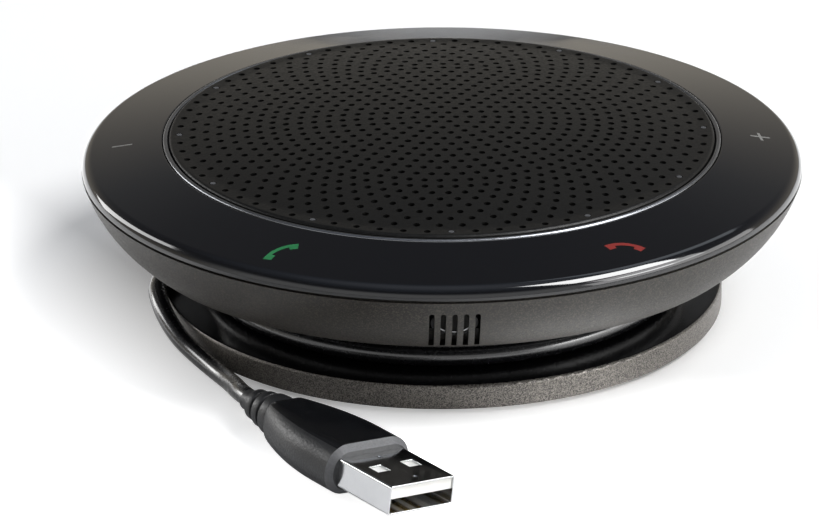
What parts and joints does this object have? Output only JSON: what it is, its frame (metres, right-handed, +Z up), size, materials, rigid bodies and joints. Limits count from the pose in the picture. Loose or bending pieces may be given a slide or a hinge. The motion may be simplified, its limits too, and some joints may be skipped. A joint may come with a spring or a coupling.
{
  "type": "conference speakerphone",
  "caption": "Round table-top conference speakerphone: domed grille in a glossy touch ring, bowl body on a cord-winding neck and flat base, with USB cord and plug.",
  "frame": {"origin": "centre of the foot ring's underside, on the surface it stands on", "axes": "+Z up through the middle of the grille, -Y towards the microphone slots at the front, +X towards the volume-up key"},
  "size_m": [0.115, 0.1439, 0.0311],
  "materials": {
    "gloss_housing": "glossy",
    "satin_housing": "satin",
    "bowl_plastic": "fine sparkle, satin",
    "touch_gloss": "glossy",
    "inner_plastic": "matte",
    "film": "satin",
    "trim": "polished",
    "grille_paint": "satin black paint",
    "cloth": "matte",
    "circuit_board": "solder mask",
    "lamp": "clear lens",
    "clear_guide": "clear",
    "foam": "foam",
    "basket_paint": "satin",
    "steel": "zinc plated",
    "ferrite": "dull",
    "copper_wire": "enamelled copper",
    "cone_paper": "matte",
    "spider_cloth": "resin-dipped",
    "surround_rubber": "matte",
    "tinned_steel": "tin plated",
    "chip_resin": "matte",
    "header_plastic": "satin",
    "capsule_metal": "satin",
    "foot_rubber": "matte",
    "screw_steel": "zinc plated",
    "cord_jacket": "satin",
    "soft_grip": "satin",
    "plug_chrome": "bright nickel",
    "tongue_plastic": "satin",
    "gold_contact": "gold plated"
  },
  "bodies": {
    "body": {"base_plate": "gloss_housing", "foot_ring": "foot_rubber", "cord_spool": "satin_housing", "cord_grommet": "soft_grip", "bottom_cover": "gloss_housing", "lower_shell": "bowl_plastic", "upper_frame": "inner_plastic", "touch_ring": "touch_gloss", "touch_film": "film", "grille_trim": "trim", "speaker_grille": "grille_paint", "grille_cloth": "cloth", "led_board": "circuit_board", "leds": "lamp", "light_guide": "clear_guide", "speaker_gasket": "foam", "speaker_basket": "basket_paint", "magnet_top_plate": "steel", "magnet": "ferrite", "magnet_yoke": "steel", "spider": "spider_cloth", "surround": "surround_rubber", "main_board": "circuit_board", "shield_can": "tinned_steel", "chips": "chip_resin", "capacitors": "tinned_steel", "cable_header": "header_plastic", "mic_capsule": "capsule_metal", "mic_boot": "foot_rubber", "headset_jack": "inner_plastic", "base_screws": "screw_steel", "cover_screws": "screw_steel", "board_screws": "screw_steel", "speaker_screws": "screw_steel", "cord_winding": "cord_jacket", "cord_free": "cord_jacket", "plug_strain_relief": "soft_grip", "plug_overmould": "soft_grip", "plug_shell": "plug_chrome", "plug_tongue": "tongue_plastic", "plug_contacts": "gold_contact"},
    "cone": {"speaker_cone": "cone_paper", "dust_cap": "cone_paper", "voice_coil": "copper_wire"}
  },
  "joints": [
    {"name": "cone_excursion", "type": "slide", "parent": "body", "child": "cone", "axis": [0, 0, 1], "range_m": [-0.001, 0.001], "stiffness_N_per_m": 1000, "deforming": ["surround", "spider"]}
  ]
}
